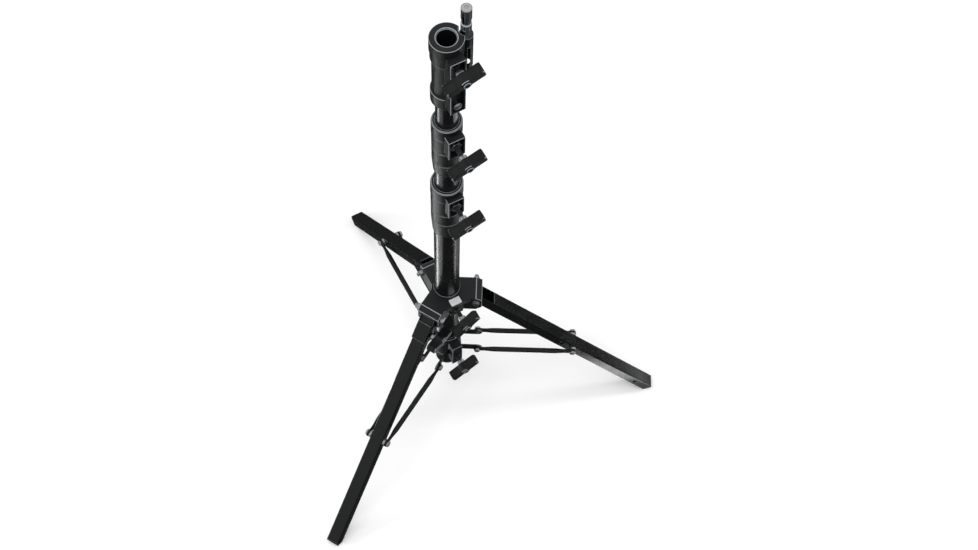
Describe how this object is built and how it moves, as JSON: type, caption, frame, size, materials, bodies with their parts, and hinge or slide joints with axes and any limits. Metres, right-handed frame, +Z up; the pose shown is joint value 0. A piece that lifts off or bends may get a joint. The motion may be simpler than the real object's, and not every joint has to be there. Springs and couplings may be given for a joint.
{
  "type": "combination lighting stand",
  "caption": "Low folding tripod lighting stand: nested column tubes with T-knob clamps, a socket and stud head, braced legs and a leveling leg.",
  "frame": {"origin": "on the ground, at the middle of the open footprint's bounding box; the column's axis stands 100.4 mm behind it along -Y", "axes": "+Z up along the column; +Y along the back leg, away from the clamp knobs, which point to -Y; +X towards the side of the head that has the stud"},
  "size_m": [0.7476, 0.6474, 1.282],
  "materials": {
    "black_steel": "satin black powder coat on steel tube",
    "black_casting": "black powder coat on castings, slightly textured",
    "black_plastic": "moulded black nylon, satin",
    "zinc_steel": "bright zinc plate",
    "black_oxide_steel": "black oxide on steel, oiled",
    "chromed_steel": "polished chrome",
    "white_plate": "blank off-white label",
    "rubber": "black rubber"
  },
  "bodies": {
    "base": {"base_tube": "black_steel", "base_tube_end_plug": "black_plastic", "lower_clamp_collar": "black_casting", "lower_clamp_cap_ring": "black_plastic", "lower_clamp_nut": "black_oxide_steel", "leg_hub": "black_casting", "rating_plate": "white_plate", "back_leg_hinge_bolt": "zinc_steel", "right_leg_hinge_bolt": "zinc_steel", "leveling_leg_hinge_bolt": "zinc_steel"},
    "lower_section": {"lower_riser": "black_steel", "lower_riser_guide_bush": "black_plastic", "upper_clamp_collar": "black_casting", "upper_clamp_cap_ring": "black_plastic", "upper_clamp_nut": "black_oxide_steel"},
    "upper_section": {"upper_riser": "black_steel", "upper_riser_guide_bush": "black_plastic", "socket_receiver": "black_casting", "receiver_retaining_bolt": "zinc_steel", "stud_tube": "black_steel"},
    "stud": {"stud": "chromed_steel", "stud_guide_screw": "zinc_steel"},
    "lower_clamp_handle": {"lower_clamp_screw": "zinc_steel", "lower_clamp_knob": "black_plastic"},
    "upper_clamp_handle": {"upper_clamp_screw": "zinc_steel", "upper_clamp_knob": "black_plastic"},
    "socket_handle": {"socket_clamp_screw": "zinc_steel", "socket_clamp_knob": "black_plastic"},
    "hub_handle": {"hub_clamp_screw": "zinc_steel", "hub_clamp_knob": "black_plastic"},
    "collar_handle": {"brace_collar_clamp_screw": "zinc_steel", "brace_collar_clamp_knob": "black_plastic"},
    "leveling_handle": {"leveling_clamp_screw": "zinc_steel", "leveling_clamp_knob": "black_plastic"},
    "brace_collar": {"brace_collar": "black_casting", "back_left_brace_ear_bolt": "zinc_steel", "back_right_brace_ear_bolt": "zinc_steel", "right_left_brace_ear_bolt": "zinc_steel", "right_right_brace_ear_bolt": "zinc_steel", "leveling_left_brace_ear_bolt": "zinc_steel", "leveling_right_brace_ear_bolt": "zinc_steel"},
    "back_leg": {"back_leg_tube": "black_steel", "back_leg_foot_plug": "rubber"},
    "right_leg": {"right_leg_tube": "black_steel", "right_leg_foot_plug": "rubber"},
    "leveling_sleeve": {"leveling_sleeve": "black_steel"},
    "leveling_leg": {"leveling_leg_tube": "black_steel", "leveling_leg_foot_plug": "rubber"},
    "back_braces": {"back_left_brace": "black_steel", "back_right_brace": "black_steel", "back_left_brace_leg_bolt": "zinc_steel", "back_right_brace_leg_bolt": "zinc_steel"},
    "right_braces": {"right_left_brace": "black_steel", "right_right_brace": "black_steel", "right_left_brace_leg_bolt": "zinc_steel", "right_right_brace_leg_bolt": "zinc_steel"},
    "leveling_braces": {"leveling_left_brace": "black_steel", "leveling_right_brace": "black_steel", "leveling_left_brace_leg_bolt": "zinc_steel", "leveling_right_brace_leg_bolt": "zinc_steel"}
  },
  "joints": [
    {"name": "lower_riser_slide", "type": "slide", "parent": "base", "child": "lower_section", "axis": [0, 0, 1], "range_m": [0, 0.54]},
    {"name": "upper_riser_slide", "type": "slide", "parent": "lower_section", "child": "upper_section", "axis": [0, 0, 1], "range_m": [0, 0.68]},
    {"name": "stud_slide", "type": "slide", "parent": "upper_section", "child": "stud", "axis": [0, 0, 1], "range_m": [-0.04, 0]},
    {"name": "lower_clamp_turn", "type": "hinge", "parent": "base", "child": "lower_clamp_handle", "pos_m": [0, -0.15039, 0.79349], "axis": [0, -1, 0], "range_deg": [-30, 330]},
    {"name": "upper_clamp_turn", "type": "hinge", "parent": "lower_section", "child": "upper_clamp_handle", "pos_m": [0, -0.15039, 0.98149], "axis": [0, -1, 0], "range_deg": [-30, 330]},
    {"name": "socket_clamp_turn", "type": "hinge", "parent": "upper_section", "child": "socket_handle", "pos_m": [0, -0.14039, 1.19399], "axis": [0, -1, 0], "range_deg": [-30, 330]},
    {"name": "hub_clamp_turn", "type": "hinge", "parent": "base", "child": "hub_handle", "pos_m": [0, -0.15539, 0.41099], "axis": [0, -1, 0], "range_deg": [-30, 330]},
    {"name": "leg_fold", "type": "hinge", "parent": "base", "child": "back_leg", "pos_m": [0, -0.04639, 0.41799], "axis": [1, 0, 0], "range_deg": [-41.78, 0]},
    {"name": "right_leg_fold", "type": "hinge", "parent": "base", "child": "right_leg", "pos_m": [0.04677, -0.12739, 0.41799], "axis": [-0.5, -0.866, 0], "range_deg": [-41.78, 0]},
    {"name": "leveling_leg_fold", "type": "hinge", "parent": "base", "child": "leveling_sleeve", "pos_m": [-0.04677, -0.12739, 0.41799], "axis": [-0.5, 0.866, 0], "range_deg": [-41.78, 0]},
    {"name": "brace_collar_slide", "type": "slide", "parent": "base", "child": "brace_collar", "axis": [0, 0, 1], "range_m": [0, 0.1164]},
    {"name": "collar_clamp_turn", "type": "hinge", "parent": "brace_collar", "child": "collar_handle", "pos_m": [0, -0.15039, 0.19999], "axis": [0, -1, 0], "range_deg": [-30, 330]},
    {"name": "back_brace_fold", "type": "hinge", "parent": "brace_collar", "child": "back_braces", "pos_m": [0, -0.04039, 0.19899], "axis": [1, 0, 0], "range_deg": [-92.77, 0]},
    {"name": "right_brace_fold", "type": "hinge", "parent": "brace_collar", "child": "right_braces", "pos_m": [0.05196, -0.13039, 0.19899], "axis": [-0.5, -0.866, 0], "range_deg": [-92.77, 0]},
    {"name": "leveling_brace_fold", "type": "hinge", "parent": "brace_collar", "child": "leveling_braces", "pos_m": [-0.05196, -0.13039, 0.19899], "axis": [-0.5, 0.866, 0], "range_deg": [-92.77, 0]},
    {"name": "leveling_leg_slide", "type": "slide", "parent": "leveling_sleeve", "child": "leveling_leg", "axis": [-0.577, -0.3331, -0.7457], "range_m": [0, 0.03]},
    {"name": "leveling_clamp_turn", "type": "hinge", "parent": "leveling_sleeve", "child": "leveling_handle", "pos_m": [-0.05358, -0.16597, 0.38417], "axis": [0.5, -0.866, 0], "range_deg": [-30, 330]}
  ],
  "couplings": [
    {"joint": "right_leg_fold", "follows": "leg_fold", "ratio": 1},
    {"joint": "leveling_leg_fold", "follows": "leg_fold", "ratio": 1},
    {"joint": "brace_collar_slide", "follows": "leg_fold", "m_per_rad": -0.15944},
    {"joint": "back_brace_fold", "follows": "leg_fold", "ratio": 2.2201},
    {"joint": "right_brace_fold", "follows": "leg_fold", "ratio": 2.2201},
    {"joint": "leveling_brace_fold", "follows": "leg_fold", "ratio": 2.2201}
  ]
}
